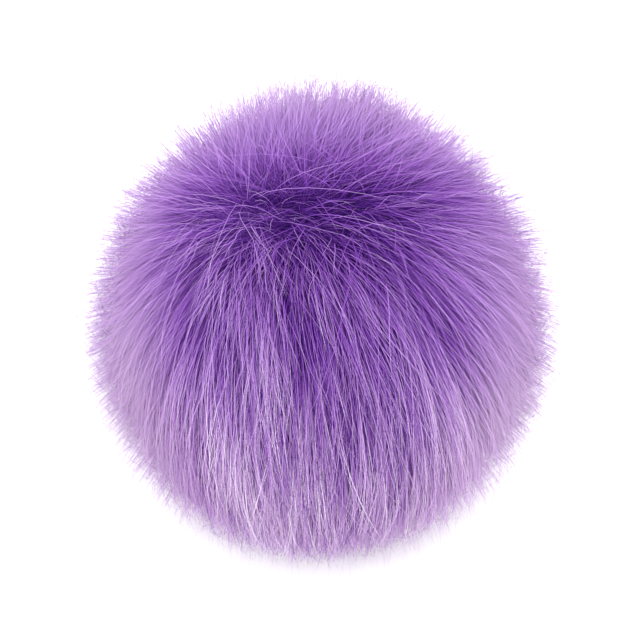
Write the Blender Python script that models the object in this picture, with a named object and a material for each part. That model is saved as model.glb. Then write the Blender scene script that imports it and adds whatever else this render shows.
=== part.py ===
"""A round pom pom of long faux fur, resting on a small flat spot.

The hair is one closed solid: a small round backing from which tapered locks
grow, each with three or four sides. On the crown the locks stand straight out.
Over the front they are combed downwards, most of all at their tips. The locks
underneath are shorter, so that their tips end level on the surface.

Metres, +Z up. The origin is on the surface, at the middle of the flat spot,
and the combed side faces -Y.
"""
import random

import bmesh
import bpy
from mathutils import Quaternion, Vector

# Driving sizes
TIP_RADIUS = 0.0588
BACKING_RADIUS = 0.0200
CENTRE_HEIGHT = 0.0530
FLAT_SPOT_RADIUS = 0.0100

# The lie of the hair: on the crown side it stands straight out, and on the
# rest of the front side it is swung towards the comb direction.
CROWN_SIDE = Vector((0.00, 0.64, 0.77))
FRONT_SIDE = Vector((0.00, -0.77, 0.64))
COMB_TOWARDS = Vector((0.00, -0.50, -0.87)).normalized()
COMB_LIMITS = {"fully_combed": -0.15, "crown": 0.75}
FRONT_LIMITS = {"back": -0.70, "front": -0.05}
TIP_SWING = 0.50

# One lock from root to tip: how far along it a ring lies, and the share of
# its own cell of the ball that the ring fills there.
LOCK_RINGS = (
    {"along": 0.00, "fills": 0.80},
    {"along": 0.40, "fills": 0.86},
    {"along": 0.70, "fills": 0.83},
    {"along": 0.89, "fills": 0.60},
)

# How uneven the locks are
SEED = 22
ROOT_JITTER = 0.16
FOUR_SIDED_LOCKS = 20
LENGTH_SPREAD = 0.0030
TIP_LEAN = 0.50

BACKING_STEPS = 3
FLOOR_STEPS = 30

FUR_COLOUR = (0.235, 0.095, 0.405, 1.0)
FUR_ROUGHNESS = 0.8


def remove_startup_objects():
    for obj in list(bpy.data.objects):
        bpy.data.objects.remove(obj)


def smooth_share(value, low, high):
    share = min(max((value - low) / (high - low), 0.0), 1.0)
    return share * share * (3.0 - 2.0 * share)


def comb_strength(direction):
    """1 where the hair is fully combed, 0 on the crown and on the back."""
    crown = smooth_share(direction.dot(CROWN_SIDE), COMB_LIMITS["fully_combed"], COMB_LIMITS["crown"])
    front = smooth_share(direction.dot(FRONT_SIDE), FRONT_LIMITS["back"], FRONT_LIMITS["front"])
    return (1.0 - crown) * front


def hair_point(direction, radius):
    """Where hair that leaves the backing along this direction lies at this radius of the ball."""
    reach = (radius - BACKING_RADIUS) / (TIP_RADIUS - BACKING_RADIUS)
    turn_axis = direction.cross(COMB_TOWARDS)
    swing = TIP_SWING * comb_strength(direction) * turn_axis.length * reach * reach
    swung = Quaternion(turn_axis, swing) @ direction
    return Vector((0.0, 0.0, CENTRE_HEIGHT)) + swung * radius


def radius_at_floor(direction, full_radius):
    """The radius at which hair meets the surface, or its full radius where it stays above it."""
    if hair_point(direction, full_radius).z >= 0.0:
        return full_radius
    above = BACKING_RADIUS
    below = full_radius
    for _ in range(FLOOR_STEPS):
        middle = (above + below) / 2
        if hair_point(direction, middle).z > 0.0:
            above = middle
        else:
            below = middle
    return above


def backing_ball(rng):
    """A ball of small uneven faces, some of them joined in pairs, with the flat spot's face below."""
    bm = bmesh.new()
    bmesh.ops.create_icosphere(bm, subdivisions=BACKING_STEPS, radius=BACKING_RADIUS)
    edge_length = sum(edge.calc_length() for edge in bm.edges) / len(bm.edges)
    lowest = min(bm.verts, key=lambda vert: vert.co.z)
    for vert in bm.verts:
        shake = Vector([rng.uniform(-1.0, 1.0) for _ in range(3)])
        if vert is not lowest:
            vert.co = (vert.co + shake * ROOT_JITTER * edge_length).normalized() * BACKING_RADIUS
    spot_edges = list(lowest.link_edges)
    taken = {face for edge in spot_edges for face in edge.link_faces}
    joined_edges = choose_pairs(bm, taken, rng)
    bmesh.ops.dissolve_verts(bm, verts=[lowest])
    bmesh.ops.dissolve_edges(bm, edges=joined_edges, use_verts=False)
    return bm


def choose_pairs(bm, taken, rng):
    """Edges whose two faces are to carry one wider lock of four sides."""
    edges = list(bm.edges)
    rng.shuffle(edges)
    chosen = []
    for edge in edges:
        if len(chosen) < FOUR_SIDED_LOCKS and not taken.intersection(edge.link_faces):
            taken.update(edge.link_faces)
            chosen.append(edge)
    return chosen


def add_ring(bm, points):
    return [bm.verts.new(point) for point in points]


def join_rings(bm, lower, upper):
    for i in range(len(lower)):
        j = (i + 1) % len(lower)
        bm.faces.new((lower[i], lower[j], upper[j], upper[i]))


def grow_lock(bm, face, rng):
    """Draws one face of the backing out into a tapered, combed lock."""
    corners = [vert.co.normalized() for vert in face.verts]
    middle = sum(corners, Vector()).normalized()
    tip_direction = middle.lerp(rng.choice(corners), TIP_LEAN * rng.random()).normalized()
    full_radius = TIP_RADIUS + rng.uniform(-LENGTH_SPREAD, LENGTH_SPREAD)
    tip_radius = radius_at_floor(tip_direction, full_radius)
    below = list(face.verts)
    for ring in LOCK_RINGS:
        centre = middle.lerp(tip_direction, ring["along"])
        radius = BACKING_RADIUS + ring["along"] * (tip_radius - BACKING_RADIUS)
        directions = [centre.lerp(corner, ring["fills"]).normalized() for corner in corners]
        above = add_ring(bm, [hair_point(direction, radius) for direction in directions])
        join_rings(bm, below, above)
        below = above
    tip = bm.verts.new(hair_point(tip_direction, tip_radius))
    tip.co.z = max(tip.co.z, 0.0)
    for i in range(len(below)):
        bm.faces.new((below[i], below[(i + 1) % len(below)], tip))


def grow_flat_spot(bm, face):
    """Draws the lowest face down into the short matted hair that the ball rests on."""
    corners = [vert.co.normalized() for vert in face.verts]
    down = Vector((0.0, 0.0, -1.0))
    root_fill = LOCK_RINGS[0]["fills"]
    directions = [down.lerp(corner, root_fill).normalized() for corner in corners]
    root = add_ring(bm, [hair_point(direction, BACKING_RADIUS) for direction in directions])
    flat = [Vector((corner.x, corner.y, 0.0)).normalized() for corner in corners]
    foot = add_ring(bm, [outward * FLAT_SPOT_RADIUS for outward in flat])
    join_rings(bm, list(face.verts), root)
    join_rings(bm, root, foot)
    bm.faces.new(foot)


def centre_over_origin(bm):
    xs = [vert.co.x for vert in bm.verts]
    ys = [vert.co.y for vert in bm.verts]
    middle = Vector(((min(xs) + max(xs)) / 2, (min(ys) + max(ys)) / 2, 0.0))
    for vert in bm.verts:
        vert.co -= middle


def pom_pom_mesh():
    rng = random.Random(SEED)
    bm = backing_ball(rng)
    faces = sorted(bm.faces, key=lambda face: face.calc_center_median().z)
    backing = list(bm.verts)
    grow_flat_spot(bm, faces[0])
    for face in faces[1:]:
        grow_lock(bm, face, rng)
    bmesh.ops.delete(bm, geom=faces, context="FACES_ONLY")
    for vert in backing:
        vert.co.z += CENTRE_HEIGHT
    centre_over_origin(bm)
    mesh = bpy.data.meshes.new("pom_pom")
    bm.to_mesh(mesh)
    bm.free()
    return mesh, len(faces) - 1


def fur_material():
    material = bpy.data.materials.new("purple_faux_fur")
    material.use_nodes = True
    shader = material.node_tree.nodes["Principled BSDF"]
    shader.inputs["Base Color"].default_value = FUR_COLOUR
    shader.inputs["Roughness"].default_value = FUR_ROUGHNESS
    shader.inputs["Metallic"].default_value = 0.0
    material.diffuse_color = FUR_COLOUR
    return material


def main():
    remove_startup_objects()
    mesh, lock_count = pom_pom_mesh()
    mesh.materials.append(fur_material())
    pom_pom = bpy.data.objects.new("pom_pom", mesh)
    bpy.context.scene.collection.objects.link(pom_pom)
    print("locks", lock_count)


main()
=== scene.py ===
"""Dresses the pom pom in fine fur: a dense inner fur and many thousand tapered hairs over it.

The fur is laid out as the photograph shows the ball. There, across and up are
shares of the ball's radius, and facing is 1 in the middle, 0 at the rim and -1
behind. These axes are fixed to the part, from wherever it is seen.
"""
import math

import bmesh
import bpy
import numpy as np
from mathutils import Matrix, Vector


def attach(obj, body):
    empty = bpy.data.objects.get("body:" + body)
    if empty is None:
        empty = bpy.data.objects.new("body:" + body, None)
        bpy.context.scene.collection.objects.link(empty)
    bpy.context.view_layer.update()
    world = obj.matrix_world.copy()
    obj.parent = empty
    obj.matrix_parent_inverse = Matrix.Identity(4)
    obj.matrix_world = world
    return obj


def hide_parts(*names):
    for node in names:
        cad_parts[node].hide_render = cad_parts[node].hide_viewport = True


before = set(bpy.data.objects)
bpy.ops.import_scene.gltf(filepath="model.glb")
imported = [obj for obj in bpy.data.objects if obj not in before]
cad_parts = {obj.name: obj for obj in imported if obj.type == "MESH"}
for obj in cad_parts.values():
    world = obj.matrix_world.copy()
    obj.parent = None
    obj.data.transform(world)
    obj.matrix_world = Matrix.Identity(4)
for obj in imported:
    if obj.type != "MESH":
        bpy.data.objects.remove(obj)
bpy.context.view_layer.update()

SEED = 7

# The ball in metres: the solid's backing and centre, and half the solid's width
CENTRE = np.array([0.0, 0.0, 0.053])
TIP_RADIUS = 0.0600
BACKING_RADIUS = 0.0200
FLOOR_GAP = 0.0003
FLOOR_STEPS = 10

# The inner fur is a ball that rises a little at the middle of each clump
BODY_RADIUS = 0.0455
BODY_RISE = 0.0012
BODY_STEPS = 5

# The photograph's view: its own axes in the part's frame
VIEW_ELEVATION = math.radians(50.0)
VIEW_DISTANCE = 0.438
VIEW_AIM = np.array([0.0, 0.0, 0.0512])
VIEW_LENS_MM = 100.0
VIEW_SENSOR_MM = 36.0
NEAREST_VIEW = 0.01
ACROSS = np.array([1.0, 0.0, 0.0])
UPWARDS = np.array([0.0, math.sin(VIEW_ELEVATION), math.cos(VIEW_ELEVATION)])
TOWARDS = np.array([0.0, -math.cos(VIEW_ELEVATION), math.sin(VIEW_ELEVATION)])
VIEW_AXES = np.stack([ACROSS, UPWARDS, TOWARDS])

# The lie of the hair: how far its tips swing, in radians, and the stretches over
# which that comes or goes. The hair parts along a short line and falls away from
# it, less so low down. It leans to the right at the parting and sags on the back.
PARTING_LEFT = np.array([-0.38, 0.50])
PARTING_RIGHT = np.array([0.28, 0.48])
FALL = {"swing": 0.95, "from_parting": (-0.10, 0.45), "low_down": (0.35, 0.95), "less": 0.45}
OUTWARD = {"swing": 0.10, "from_parting": (0.0, 0.4)}
LEAN = {"swing": 0.25, "across": (-0.35, 0.15), "from_parting": (0.25, 0.75)}
BACK_SAG = 0.55

# The front's lie comes in as a root faces the view, and the back's as it faces
# away. Nearer to the rim than the least facing, a swing's depth grows no more.
FRONT_LIE = (-0.10, 0.60)
BACK_LIE = (-0.30, 0.40)
LEAST_FACING = 0.4

# Single hairs show clearly in the middle of the front, up to the parting
CRISP = {"middle": -0.02, "across": (0.25, 0.80), "up": (0.40, 0.68), "facing": (-0.1, 0.3)}

# How much of the fur's unevenness is left in the haze, where single hairs don't show
HAZE_KEEPS = {"gathering": 0.06, "swing": 0.25, "side": 0.15, "tone": 0.10, "glow": 0.20}

# Tufts and clumps: how many there are over the ball, how far each draws its hairs
# in, and how much they differ in length, swing, turn and tone
TUFTS = {"count": 900, "pull": 0.35, "power": 1.5, "tone": 0.11}
CLUMPS = {"count": 5000, "pull": 0.70, "power": 1.2, "tone": 0.08}
GROUP_SHAKE = 0.9
GROUP_SHORTER = {"most": 0.06, "power": 1.5}
GROUP_SWING = (-0.28, 0.25)
GROUP_SIDE = 0.13

# Single hairs: how loosely some hold to their group, how much their swing differs,
# and how much less they turn sideways low down
LOOSENESS = 0.6
SWING_SPREAD = 0.15
STEADIER = {"low_down": (0.0, 0.5), "by": 0.5}

# Hair is matted at the parting, and a little everywhere
MATTED = {"everywhere": 0.05, "from_parting": (0.05, 0.35), "facing": (0.2, 0.6)}

# The course of one hair: how soon it rises to its full reach, how much of its
# swing it has at its root, how soon the rest comes, and its waves in half turns
RISE_POWER = 1.7
ROOT_SWING = 0.25
SWING_POWER = 1.3
WAVES = (1.0, 2.6)
SHORTEST_HAIR = 0.05

# Haze hair is even in length but at the rim. There it ends unevenly, and its long
# hairs are rarer low down and commoner elsewhere.
EVEN_END = 0.94
RIM = {"front": (0.30, 0.65), "back": (0.10, 0.95), "low_down": (0.10, 0.70), "rarer": 0.35, "commoner": 0.15}

# Hair width: how much it differs, how it narrows to its tip, and where the tips
# that reach out at the rim are finer
WIDTH_SPREAD = (0.75, 1.25)
NARROWING = 0.85
FINE_TIPS = {"reach": (0.92, 1.12), "even": 0.2}

# Kinds of hair. Lengths are shares of the way from the backing to the tips.
# Front hair lies where single hairs show, and haze hair is the finer rest.
# Clumped is how much it gathers, crossing how much it turns aside, evened how
# alike its lengths are inside the rim, roll how far it is turned on its edge,
# fine how much finer its outer tips are, and matted how tangled at the parting.
# Glow is how much paler some of its hairs are painted: a painted highlight.
# Hairs is the most in one piece: front hair runs out of roots at about 15,900.
FRONT_HAIR = {
    "name": "front_hair", "pieces": 2, "hairs": 18500, "where": "front", "segments": 5,
    "width": 0.00014, "starts": (0.52, 0.60), "ends": (0.74, 1.08), "end_power": 3.5,
    "waves": 0.0004, "tone": (-0.16, 0.10), "clumped": 1.0, "extra_swing": 1.0,
    "crossing": 0.07, "glow": (0.0, 0.0), "evened": 0.0, "roll": 0.45,
    "fine": 0.30, "matted": 0.28,
}
HAZE_HAIR = {
    "name": "haze_hair", "pieces": 3, "hairs": 65000, "where": "haze", "segments": 2,
    "width": 0.00010, "starts": (0.52, 0.60), "ends": (0.72, 1.33), "end_power": 3.5,
    "waves": 0.0003, "tone": (-0.05, 0.05), "clumped": 0.7, "extra_swing": 1.0,
    "crossing": 0.06, "glow": (0.0, 0.0), "evened": 0.85, "roll": 0.20,
    "fine": 0.40, "matted": 0.28,
}
GUARD_HAIR = {
    "name": "guard_hair", "pieces": 1, "hairs": 6500, "where": "all", "segments": 6,
    "width": 0.00015, "starts": (0.62, 0.86), "ends": (0.78, 1.07), "end_power": 1.5,
    "waves": 0.0010, "tone": (0.0, 0.0), "clumped": 0.20, "extra_swing": 1.15,
    "crossing": 0.20, "glow": (0.05, 0.80), "evened": 0.0, "roll": 0.45,
    "fine": 0.30, "matted": 0.28,
}
STRAY_HAIR = {
    "name": "stray_hair", "pieces": 1, "hairs": 170, "where": "parting", "segments": 5,
    "width": 0.00015, "starts": (0.88, 0.97), "ends": (0.98, 1.05), "end_power": 1.0,
    "waves": 0.0006, "tone": (0.0, 0.0), "clumped": 0.0, "extra_swing": 0.4,
    "crossing": 0.06, "glow": (0.35, 0.80), "evened": 0.0, "roll": 0.45,
    "fine": 0.0, "matted": 0.45,
}

# Roots: one in so many is at the parting, inside the rim, and the rest are chosen
# from a shaken even spread of several times as many. Front hair grows where the
# fur is crisp, and guard hair now and then in the haze too.
PARTING_EVERY = 9
PARTING_SPREAD = 0.16
STRAY_SPREAD = 0.22
LEAST_DEPTH_SQUARED = 0.05
CHOICE_FACTOR = 6
ROOT_SHAKE = 1.5
FRONT_CRISP = (0.0, 0.5)
GUARD_IN_HAZE = 0.25

# How pale the fur is: deepest a little above the middle of the view, and palest
# this far from there, on the left, on the right, above and below. Behind the
# rim all of it is pale. The deepening near the parting is painted shade among its roots.
DEEPEST_UP = 0.36
PALE_REACH = {"left": 0.78, "right": 0.82, "above": 0.52, "below": 1.38}
PALE_FRONT = (-0.2, 0.25)
PALEST = 1.08

# Shades, from 0 deep to 1 pale, as pairs: in the haze and where single hairs show.
# The fur is darkest at the lower end of the depth, a share of the radius, and
# below: painted shade deep in the fur, between the hairs. A hair has its place's
# own shade at the neutral share of its length, and is darker towards its root and
# paler towards its tip: painted shade towards the roots.
PARTING_SHADE = (0.25, 0.32)
RIM_PALER = (0.49, 0.34)
PAINTED_DEPTH_SHADE = (0.08, 0.34)
PAINTED_ROOT_SHADE = (0.05, 0.33)
DEPTH = (0.78, 0.97)
NEUTRAL_SHARE = 0.62

# Hair that stands free at the rim catches all the light, so it is made darker
FREE_TIPS = {"reach": (0.86, 1.04), "at_rim": (0.80, 1.0), "darker": 0.20}

# Clumps differ more in tone low down
TONE = {"low_down": (0.0, 0.5), "more": 0.5}

# Glowing hairs are a painted highlight, made paler than their place. The palest shade
# that a glowing hair comes up to, at the parting and what the rim adds, and the share
# of its glow that it has at the parting
GLOW = {"shade": 0.48, "rim_adds": 0.30, "at_parting": 0.50, "grows": (0.10, 0.55)}

# How warm the fur is, from 0 violet to 1 dusty pink: everywhere, low down and at the rim
WARMTH = {"everywhere": 0.10, "adds_low": 0.70, "low": (-0.05, 0.80), "adds_rim": 0.55, "rim": (0.70, 1.10)}
WARM_LIMITS = (0.0, 0.98)
PALE_LIMITS = (0.01, 0.99)

# The two map values are a hair's warmth and paleness. Across its width the first
# grows by this much, so that each face of it has some area on the map.
MAP_WIDTH = 1.0 / 64.0

COOL_SHADES = (
    (0.0, "341460"), (0.2, "542880"), (0.4, "78489E"), (0.6, "9872B4"), (0.8, "B49AC4"), (1.0, "DED2E4"),
)
WARM_SHADES = (
    (0.0, "3A185E"), (0.2, "5C3280"), (0.4, "825A98"), (0.6, "A082AE"), (0.8, "BAA4C2"), (1.0, "D8CCDC"),
)
BODY_GRAIN = 0.10
HAIR_GRAIN = 0.02
GRAIN_NOISE = {"Scale": 900.0, "Detail": 4.0}
GRAIN_RANGE = (0.3, 0.7)
DEEP_ROUGHNESS = 0.85
PALE_ROUGHNESS = 0.55

# The studio, in metres and watts, with the lamps placed from the ball's centre
FLOOR_HALF = 3.0
FLOOR_COLOUR = (0.95, 0.95, 0.95, 1.0)
FLOOR_ROUGHNESS = 0.9
WORLD_COLOUR = (1.0, 1.0, 1.0, 1.0)
WORLD_STRENGTH = 1.9
LAMPS = (
    {"name": "key", "place": (-0.05, -0.25, 0.80), "size": 0.8, "power": 3.0},
    {"name": "fill", "place": (0.0, -0.80, 0.20), "size": 0.8, "power": 2.0},
)

NEAREST_BLOCK = 2000
TINY = 1e-12


def smooth_share(value, low, high):
    share = np.clip((value - low) / (high - low), 0.0, 1.0)
    return share * share * (3.0 - 2.0 * share)


def between(low, high, share):
    return low + (high - low) * share


def unit(vectors):
    return vectors / np.maximum(np.linalg.norm(vectors, axis=-1, keepdims=True), TINY)


def even_spacing(count):
    """How far apart so many directions lie when they are spread evenly."""
    return math.sqrt(4.0 * math.pi / count)


def even_directions(count, rng, shake):
    """Directions spread evenly over the ball, each shaken a little."""
    i = np.arange(count) + 0.5
    height = 1.0 - 2.0 * i / count
    turn = i * math.pi * (3.0 - math.sqrt(5.0))
    flat = np.sqrt(1.0 - height * height)
    even = np.stack([flat * np.cos(turn), flat * np.sin(turn), height], axis=1)
    return unit(even + rng.normal(0.0, shake * even_spacing(count) / 2.0, (count, 3)))


def along_surface(vectors, directions):
    return vectors - (vectors * directions).sum(-1, keepdims=True) * directions


def in_view(vectors):
    """The across, up and facing values of vectors."""
    return np.moveaxis(vectors @ VIEW_AXES.T, -1, 0)


def from_parting(across, up):
    """The way from the parting to these places in the photograph's view, and how far they are from it."""
    line = PARTING_RIGHT - PARTING_LEFT
    flat = np.stack([across, up], axis=-1)
    share = np.clip((flat - PARTING_LEFT) @ line / (line @ line), 0.0, 1.0)
    away = flat - (PARTING_LEFT + share[..., None] * line)
    return unit(away), np.linalg.norm(away, axis=-1)


def lie(directions):
    """How far, in radians, and which way the tips of the hair with these roots are swung."""
    across, up, facing = in_view(directions)
    away, distance = from_parting(across, up)
    fall = FALL["swing"] * smooth_share(distance, *FALL["from_parting"])
    fall = fall * (1.0 - FALL["less"] * smooth_share(-up, *FALL["low_down"]))
    outward = OUTWARD["swing"] * smooth_share(distance, *OUTWARD["from_parting"])
    shown = fall[:, None] * away + outward[:, None] * np.stack([across, up], axis=1)
    lean = LEAN["swing"] * smooth_share(across, *LEAN["across"])
    shown[:, 0] += lean * (1.0 - smooth_share(distance, *LEAN["from_parting"]))
    depth = -(shown[:, 0] * across + shown[:, 1] * up) / np.maximum(facing, LEAST_FACING)
    shown = np.concatenate([shown, depth[:, None]], axis=1) @ VIEW_AXES
    hidden = np.array([0.0, 0.0, -BACK_SAG])
    front = smooth_share(facing, *FRONT_LIE)[:, None]
    back = smooth_share(-facing, *BACK_LIE)[:, None]
    return along_surface(front * shown + back * hidden, directions)


def shown_at(roots):
    """The across, up and facing values of the middle of the hair with these roots."""
    return in_view(unit(roots + 0.5 * lie(roots)))


def crispness(across, up, facing):
    """1 where single hairs show clearly, 0 where the fur is a soft haze."""
    middle = 1.0 - smooth_share(np.abs(across - CRISP["middle"]), *CRISP["across"])
    below = 1.0 - smooth_share(up, *CRISP["up"])
    return middle * below * smooth_share(facing, *CRISP["facing"])


def left_in_haze(what, crisp):
    """1 where single hairs show clearly, and less in the haze."""
    return between(HAZE_KEEPS[what], 1.0, crisp)


def paleness(across, up, facing):
    """How pale the fur is: 0 deep violet at the parting, 1 pale lavender at the rim and behind."""
    # The deepening towards the parting is painted shade among its roots
    sideways = across / np.where(across < 0.0, PALE_REACH["left"], PALE_REACH["right"])
    rise = up - DEEPEST_UP
    upright = rise / np.where(rise > 0.0, PALE_REACH["above"], PALE_REACH["below"])
    shown = np.sqrt(sideways ** 2 + upright ** 2)
    front = smooth_share(facing, *PALE_FRONT)
    return np.clip(front * shown + (1.0 - front), 0.0, PALEST)


def nearest(directions, centres):
    """The centre nearest to each direction, found block by block."""
    found = np.empty(len(directions), int)
    for start in range(0, len(directions), NEAREST_BLOCK):
        part = directions[start:start + NEAREST_BLOCK]
        found[start:start + NEAREST_BLOCK] = (part @ centres.T).argmax(1)
    return found


def group_of_hair(spec, rng):
    """The centres of tufts or clumps, with what sets each of them apart."""
    count = spec["count"]
    return {
        "centres": even_directions(count, rng, GROUP_SHAKE),
        "length": 1.0 - GROUP_SHORTER["most"] * rng.random(count) ** GROUP_SHORTER["power"],
        "swing": rng.uniform(*GROUP_SWING, count),
        "side": GROUP_SIDE * rng.normal(size=count),
        "tone": spec["tone"] * rng.normal(size=count),
        "pull": spec["pull"],
        "power": spec["power"],
    }


def parting_roots(count, spread, rng):
    along = rng.random(count)[:, None]
    flat = PARTING_LEFT + along * (PARTING_RIGHT - PARTING_LEFT) + rng.normal(0.0, spread, (count, 2))
    depth = np.sqrt(np.maximum(1.0 - (flat ** 2).sum(1), LEAST_DEPTH_SQUARED))
    return unit(np.concatenate([flat, depth[:, None]], axis=1)) @ VIEW_AXES


def hair_roots(kind, rng):
    """Roots all over the ball or over a part of it, with more of them at the parting."""
    count = kind["hairs"]
    if kind["where"] == "parting":
        return parting_roots(count, STRAY_SPREAD, rng)
    extra = count // PARTING_EVERY
    everywhere = even_directions(CHOICE_FACTOR * count, rng, ROOT_SHAKE)
    rng.shuffle(everywhere)
    crisp = smooth_share(crispness(*shown_at(everywhere)), *FRONT_CRISP)
    chances = {"front": crisp, "haze": 1.0 - crisp, "all": between(GUARD_IN_HAZE, 1.0, crisp)}
    chosen = everywhere[rng.random(len(everywhere)) < chances[kind["where"]]]
    if kind["where"] == "haze":
        return chosen[:count]
    return np.concatenate([chosen[:count - extra], parting_roots(extra, PARTING_SPREAD, rng)])


def hair_ends(kind, up, facing, rng):
    """How far out each hair ends, as a share of the way from the backing to the tips."""
    front = smooth_share(facing, *RIM["front"])
    back = smooth_share(-facing, *RIM["back"])
    rim = 1.0 - np.where(facing > 0.0, front, back)
    rarer = RIM["rarer"] * smooth_share(-up, *RIM["low_down"]) - RIM["commoner"]
    power = kind["end_power"] * (1.0 + kind["evened"] * rim * rarer)
    ends = between(*kind["ends"], rng.random(len(up)) ** power)
    return ends + kind["evened"] * (1.0 - rim) * (EVEN_END - ends)


def hair_swing(kind, roots, swings, sides, rng):
    """The lie of each hair, made uneven by its clump's swing and side and by its own."""
    count = len(roots)
    across, up, facing = shown_at(roots)
    crisp = crispness(across, up, facing)
    swing = kind["extra_swing"] * lie(roots)
    sideways = np.cross(roots, swing)
    own = SWING_SPREAD * rng.normal(size=count)
    uneven = 1.0 + left_in_haze("swing", crisp) * (swings + own)
    steadier = 1.0 - STEADIER["by"] * smooth_share(-up, *STEADIER["low_down"])
    turn = steadier * left_in_haze("side", crisp) * sides + kind["crossing"] * rng.normal(size=count)
    swing = swing * uneven[:, None] + sideways * turn[:, None]
    near = 1.0 - smooth_share(from_parting(across, up)[1], *MATTED["from_parting"])
    matted = MATTED["everywhere"] + near * smooth_share(facing, *MATTED["facing"]) * kind["matted"]
    return swing + along_surface(matted[:, None] * rng.normal(size=(count, 3)), roots)


def lay_hair(kind, roots, tufts, clumps, rng):
    """What settles the course of each hair from its root to its tip."""
    count = len(roots)
    tuft = nearest(roots, tufts["centres"])
    clump = nearest(roots, clumps["centres"])
    across, up, facing = shown_at(roots)
    ends = hair_ends(kind, up, facing, rng) * (tufts["length"][tuft] * clumps["length"][clump])
    starts = np.minimum(rng.uniform(*kind["starts"], count), ends - SHORTEST_HAIR)
    holds = kind["clumped"] * (1.0 - LOOSENESS * rng.random(count) ** 2)
    swing = hair_swing(kind, roots, clumps["swing"][clump], clumps["side"][clump], rng)
    phase = rng.random(count) * 2.0 * math.pi
    rate = rng.uniform(*WAVES, count) * math.pi
    bend = along_surface(rng.normal(size=(count, 3)), roots) * kind["waves"]
    return {
        "roots": roots,
        "starts": starts,
        "ends": ends,
        "holds": holds * left_in_haze("gathering", crispness(across, up, facing)),
        "groups": ((tufts, tuft), (clumps, clump)),
        "swing": swing,
        "full_turn": np.linalg.norm(swing, axis=1),
        "phase": phase,
        "rate": rate,
        "bend": bend,
    }


def hair_point(hair, share):
    """Where each hair is at this share of its length, or at a share of its own."""
    roots, starts, ends = hair["roots"], hair["starts"], hair["ends"]
    share = share * np.ones(len(roots))
    reach = ends - (ends - starts) * (1.0 - share) ** RISE_POWER
    gathered = roots
    for group, member in hair["groups"]:
        pull = group["pull"] * hair["holds"] * share ** group["power"]
        gathered = gathered + pull[:, None] * (group["centres"][member] - roots)
    gathered = unit(gathered)
    angle = hair["full_turn"] * between(ROOT_SWING, 1.0, share ** SWING_POWER)
    aside = unit(along_surface(hair["swing"], gathered))
    turned = gathered * np.cos(angle)[:, None] + aside * np.sin(angle)[:, None]
    radius = between(BACKING_RADIUS, TIP_RADIUS, reach)
    wave = hair["bend"] * (np.sin(hair["phase"] + hair["rate"] * share) * share)[:, None]
    return CENTRE + turned * radius[:, None] + wave


def share_above_floor(hair):
    """The share of each hair that stays above the surface."""
    count = len(hair["roots"])
    above, below = np.zeros(count), np.ones(count)
    for _ in range(FLOOR_STEPS):
        middle = (above + below) / 2.0
        under = hair_point(hair, middle)[:, 2] < FLOOR_GAP
        below = np.where(under, middle, below)
        above = np.where(under, above, middle)
    sinks = hair_point(hair, 1.0)[:, 2] < FLOOR_GAP
    return np.where(sinks, above, 1.0)


def hair_points(hair, segments):
    """The points along each hair from root to tip, cut short at the surface."""
    kept = share_above_floor(hair)
    shares = np.linspace(0.0, 1.0, segments + 1)
    points = np.stack([hair_point(hair, share * kept) for share in shares], axis=1)
    points[..., 2] = np.maximum(points[..., 2], FLOOR_GAP)
    return points


def fur_at(points):
    """How high in the view these points are, and how crisp and how pale the fur is there."""
    across, up, facing = in_view(points - CENTRE) / TIP_RADIUS
    return up, crispness(across, up, facing), paleness(across, up, facing)


def place_shades(points):
    """How warm and how pale the fur is at these points: deeper in the fur it is darker, in painted shade."""
    up, crisp, outer = fur_at(points)
    far = np.linalg.norm(points - CENTRE, axis=-1) / TIP_RADIUS
    # Deepest at the parting, in painted shade among its roots, and paler towards the rim
    pale = between(*PARTING_SHADE, crisp) + between(*RIM_PALER, crisp) * outer
    # Painted shade: the fur is darker deeper in, as between the hairs
    pale -= between(*PAINTED_DEPTH_SHADE, crisp) * (1.0 - smooth_share(far, *DEPTH))
    free = smooth_share(far, *FREE_TIPS["reach"]) * smooth_share(outer, *FREE_TIPS["at_rim"])
    pale -= FREE_TIPS["darker"] * free
    warm = WARMTH["everywhere"] + WARMTH["adds_low"] * smooth_share(-up, *WARMTH["low"])
    warm += WARMTH["adds_rim"] * smooth_share(outer, *WARMTH["rim"])
    return warm, pale


def within_limits(warm, pale):
    return np.clip(warm, *WARM_LIMITS), np.clip(pale, *PALE_LIMITS)


def hair_shades(kind, hair, points, rng):
    """Two values for each point of each hair: how warm it is, and how pale."""
    count, rows, _ = points.shape
    up, crisp, outer = fur_at(points)
    warm, pale = place_shades(points)
    # Each hair is darker towards its root and paler towards its tip: painted shade between the hairs
    pale += (np.linspace(0.0, 1.0, rows) - NEUTRAL_SHARE) * between(*PAINTED_ROOT_SHADE, crisp)
    tone = rng.uniform(*kind["tone"], count)
    for group, member in hair["groups"]:
        tone = tone + group["tone"][member]
    more = 1.0 + TONE["more"] * smooth_share(-up, *TONE["low_down"])
    pale += tone[:, None] * left_in_haze("tone", crisp) * more
    # Some hairs glow: a painted highlight that makes them paler
    glow = between(*kind["glow"], rng.random(count) ** 2.0)
    lit = left_in_haze("glow", crisp) * between(GLOW["at_parting"], 1.0, smooth_share(outer, *GLOW["grows"]))
    pale += glow[:, None] * np.maximum(GLOW["shade"] + GLOW["rim_adds"] * outer - pale, 0.0) * lit
    return within_limits(warm, pale)


def hair_widths(kind, points, rng):
    """How wide each hair is: finer where its tip stands out of the ball."""
    width = kind["width"] * rng.uniform(*WIDTH_SPREAD, len(points))
    tip_reach = np.linalg.norm(points[:, -1] - CENTRE, axis=1) / TIP_RADIUS
    return width * (1.0 + kind["fine"] * (FINE_TIPS["even"] - smooth_share(tip_reach, *FINE_TIPS["reach"])))


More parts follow.
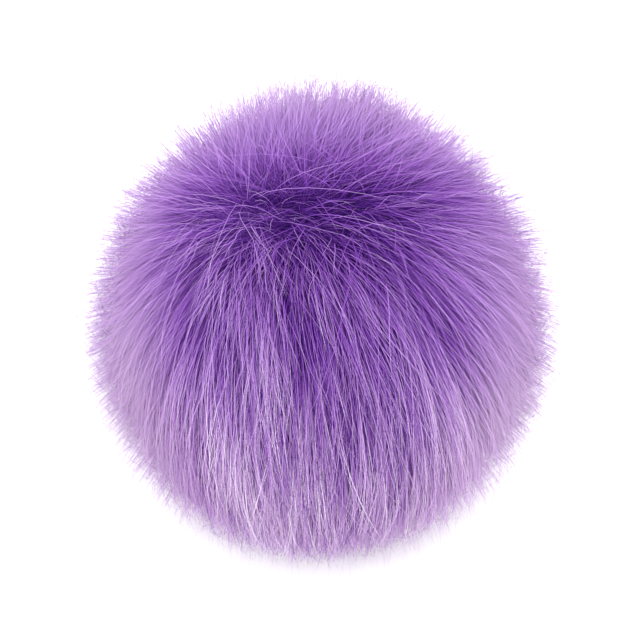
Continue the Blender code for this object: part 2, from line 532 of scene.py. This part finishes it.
def strip_faces(rings):
    """The triangles of one hair, and where each of their corners lies across the hair, 0 to 1."""
    faces, across = [], []
    for ring in range(rings - 1):
        a, b, c, d = 2 * ring, 2 * ring + 1, 2 * ring + 3, 2 * ring + 2
        faces += [(a, b, c), (a, c, d)]
        across += [(0.0, 1.0, 1.0), (0.0, 1.0, 0.0)]
    faces.append((2 * rings - 2, 2 * rings - 1, 2 * rings))
    across.append((0.0, 1.0, 0.5))
    return np.array(faces), np.array(across)


def strip_edges(points, width, roll):
    """Both edges of each flat hair. It lies level in the fur but for its roll."""
    rings = points.shape[1] - 1
    tangents = unit(np.gradient(points, axis=1))
    whole = unit(points[:, -1] - points[:, 0])
    level = unit(np.cross(whole, unit(points[:, 1] - CENTRE)))[:, None]
    side = unit(along_surface(level, tangents))
    front = np.cross(tangents, side)
    shares = np.linspace(0.0, 1.0, rings + 1)
    widths = width[:, None] * (1.0 - NARROWING * shares[None, :rings] ** 2) / 2.0
    turned = np.cos(roll)[:, None, None] * side + np.sin(roll)[:, None, None] * front
    spoke = turned[:, :rings] * widths[..., None]
    return np.stack([points[:, :rings] - spoke, points[:, :rings] + spoke], axis=2)


def add_maps(mesh, uv):
    for layer_name in ("OFBake", "hair_map"):
        layer = mesh.uv_layers.new(name=layer_name)
        layer.data.foreach_set("uv", uv.astype(np.float32).ravel())


def hair_mesh(name, points, width, shades, roll):
    """One mesh of flat hairs that taper to a point, with a map of their shades."""
    count, rows, _ = points.shape
    rings = rows - 1
    edges = strip_edges(points, width, roll)
    vertices = np.concatenate([edges.reshape(count, rings * 2, 3), points[:, -1:]], axis=1)
    per_hair = rings * 2 + 1
    faces, across = strip_faces(rings)
    vertex_row = np.append(np.repeat(np.arange(rings), 2), rings)
    loops = (faces[None] + (np.arange(count) * per_hair)[:, None, None]).reshape(-1)
    warm, pale = (shade[:, vertex_row[faces]] for shade in shades)
    mesh = bpy.data.meshes.new(name)
    mesh.vertices.add(count * per_hair)
    mesh.vertices.foreach_set("co", vertices.astype(np.float32).ravel())
    mesh.loops.add(len(loops))
    mesh.loops.foreach_set("vertex_index", loops.astype(np.int32))
    mesh.polygons.add(len(loops) // 3)
    mesh.polygons.foreach_set("loop_start", np.arange(0, len(loops), 3, dtype=np.int32))
    add_maps(mesh, np.stack([warm + across[None] * MAP_WIDTH, pale], axis=-1))
    mesh.update(calc_edges=True)
    mesh.shade_smooth()
    return mesh


def body_mesh(clumps):
    """The dense inner fur: a ball whose surface rises a little at the middle of each clump."""
    bm = bmesh.new()
    bmesh.ops.create_icosphere(bm, subdivisions=BODY_STEPS, radius=1.0)
    mesh = bpy.data.meshes.new("inner_fur")
    bm.to_mesh(mesh)
    bm.free()
    directions = np.empty(len(mesh.vertices) * 3, np.float32)
    mesh.vertices.foreach_get("co", directions)
    directions = unit(directions.reshape(-1, 3).astype(float))
    member = nearest(directions, clumps["centres"])
    off = np.linalg.norm(directions - clumps["centres"][member], axis=1)
    rise = BODY_RISE * (1.0 - off / even_spacing(CLUMPS["count"]))
    points = CENTRE + directions * (BODY_RADIUS + rise)[:, None]
    mesh.vertices.foreach_set("co", points.astype(np.float32).ravel())
    corners = np.empty(len(mesh.loops), np.int32)
    mesh.loops.foreach_get("vertex_index", corners)
    # It lies deep in the fur, so it takes the darkest painted shade of its place
    warm, pale = within_limits(*place_shades(points))
    across = (np.arange(len(corners)) % 3) / 2.0
    add_maps(mesh, np.stack([warm[corners] + across * MAP_WIDTH, pale[corners]], axis=-1))
    mesh.update()
    mesh.shade_smooth()
    return mesh


def linear(hex_colour):
    """The colour of six hexadecimal digits, turned from display values into linear ones."""
    values = [int(hex_colour[i:i + 2], 16) / 255.0 for i in (0, 2, 4)]
    return [v / 12.92 if v <= 0.04045 else ((v + 0.055) / 1.055) ** 2.4 for v in values] + [1.0]


def add_node(tree, kind, values):
    node = tree.nodes.new(kind)
    for socket, value in values.items():
        node.inputs[socket].default_value = value
    return node


def add_ramp(tree, stops, share):
    node = tree.nodes.new("ShaderNodeValToRGB")
    elements = node.color_ramp.elements
    elements.remove(elements[1])
    elements[0].position = stops[0][0]
    elements[0].color = linear(stops[0][1])
    for place, colour in stops[1:]:
        elements.new(place).color = linear(colour)
    tree.links.new(share, node.inputs["Fac"])
    return node.outputs["Color"]


def grained(tree, value, grain):
    """This value with a fine grain added that lies in the fur itself."""
    spot = tree.nodes.new("ShaderNodeTexCoord")
    noise = add_node(tree, "ShaderNodeTexNoise", GRAIN_NOISE)
    tree.links.new(spot.outputs["Object"], noise.inputs["Vector"])
    low, high = GRAIN_RANGE
    limits = {"From Min": low, "From Max": high, "To Min": -grain, "To Max": grain}
    spread = add_node(tree, "ShaderNodeMapRange", limits)
    tree.links.new(noise.outputs["Fac"], spread.inputs["Value"])
    total = tree.nodes.new("ShaderNodeMath")
    tree.links.new(value, total.inputs[0])
    tree.links.new(spread.outputs["Result"], total.inputs[1])
    return total.outputs["Value"]


def fur_material(name, grain):
    """Deep violet to pale lavender. One map value of each hair says how warm it is, the other how pale."""
    material = bpy.data.materials.new(name)
    material.use_nodes = True
    tree = material.node_tree
    shader = tree.nodes["Principled BSDF"]
    place = tree.nodes.new("ShaderNodeUVMap")
    place.uv_map = "hair_map"
    parts = tree.nodes.new("ShaderNodeSeparateXYZ")
    tree.links.new(place.outputs["UV"], parts.inputs[0])
    pale = grained(tree, parts.outputs["Y"], grain)
    blend = tree.nodes.new("ShaderNodeMix")
    blend.data_type = "RGBA"
    tree.links.new(parts.outputs["X"], blend.inputs["Factor"])
    tree.links.new(add_ramp(tree, COOL_SHADES, pale), blend.inputs["A"])
    tree.links.new(add_ramp(tree, WARM_SHADES, pale), blend.inputs["B"])
    tree.links.new(blend.outputs["Result"], shader.inputs["Base Color"])
    gloss = add_node(tree, "ShaderNodeMapRange", {"To Min": DEEP_ROUGHNESS, "To Max": PALE_ROUGHNESS})
    tree.links.new(pale, gloss.inputs["Value"])
    tree.links.new(gloss.outputs["Result"], shader.inputs["Roughness"])
    shader.inputs["Specular IOR Level"].default_value = 0.0
    return material


def add_piece(mesh, material):
    mesh.materials.append(material)
    piece = bpy.data.objects.new(mesh.name, mesh)
    bpy.context.scene.collection.objects.link(piece)
    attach(piece, "root")
    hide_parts("pom_pom")


def dress():
    rng = np.random.default_rng(SEED)
    tufts = group_of_hair(TUFTS, rng)
    clumps = group_of_hair(CLUMPS, rng)
    add_piece(body_mesh(clumps), fur_material("inner_fur", BODY_GRAIN))
    material = fur_material("fur_hair", HAIR_GRAIN)
    for kind in (FRONT_HAIR, HAZE_HAIR, GUARD_HAIR, STRAY_HAIR):
        for number in range(kind["pieces"]):
            hair = lay_hair(kind, hair_roots(kind, rng), tufts, clumps, rng)
            points = hair_points(hair, kind["segments"])
            shades = hair_shades(kind, hair, points, rng)
            width = hair_widths(kind, points, rng)
            roll = kind["roll"] * rng.uniform(-1.0, 1.0, len(points))
            add_piece(hair_mesh(f"{kind['name']}_{number + 1}", points, width, shades, roll), material)


def add_floor():
    mesh = bpy.data.meshes.new("floor")
    corners = [(x * FLOOR_HALF, y * FLOOR_HALF, 0) for x, y in ((-1, -1), (1, -1), (1, 1), (-1, 1))]
    mesh.from_pydata(corners, [], [(0, 1, 2, 3)])
    material = bpy.data.materials.new("pale_floor")
    material.use_nodes = True
    shader = material.node_tree.nodes["Principled BSDF"]
    shader.inputs["Base Color"].default_value = FLOOR_COLOUR
    shader.inputs["Roughness"].default_value = FLOOR_ROUGHNESS
    mesh.materials.append(material)
    floor = bpy.data.objects.new("floor", mesh)
    bpy.context.scene.collection.objects.link(floor)


def turned_along(direction):
    """The rotation of a lamp or camera that looks this way."""
    return Vector(direction).to_track_quat("-Z", "Y").to_euler()


def add_lamp(spec):
    light = bpy.data.lights.new(spec["name"], "AREA")
    light.shape = "DISK"
    light.size = spec["size"]
    light.energy = spec["power"]
    lamp = bpy.data.objects.new(spec["name"], light)
    offset = np.array(spec["place"])
    lamp.location = CENTRE + offset
    lamp.rotation_euler = turned_along(-offset)
    bpy.context.scene.collection.objects.link(lamp)


def add_camera():
    data = bpy.data.cameras.new("camera")
    data.lens = VIEW_LENS_MM
    data.sensor_width = VIEW_SENSOR_MM
    data.clip_start = NEAREST_VIEW
    camera = bpy.data.objects.new("camera", data)
    camera.location = VIEW_AIM + TOWARDS * VIEW_DISTANCE
    camera.rotation_euler = turned_along(-TOWARDS)
    bpy.context.scene.collection.objects.link(camera)
    bpy.context.scene.camera = camera


def add_studio():
    add_floor()
    world = bpy.data.worlds.new("studio")
    world.use_nodes = True
    background = world.node_tree.nodes["Background"]
    background.inputs["Color"].default_value = WORLD_COLOUR
    background.inputs["Strength"].default_value = WORLD_STRENGTH
    bpy.context.scene.world = world
    for spec in LAMPS:
        add_lamp(spec)
    bpy.context.scene.view_settings.view_transform = "Standard"


dress()
add_studio()
add_camera()
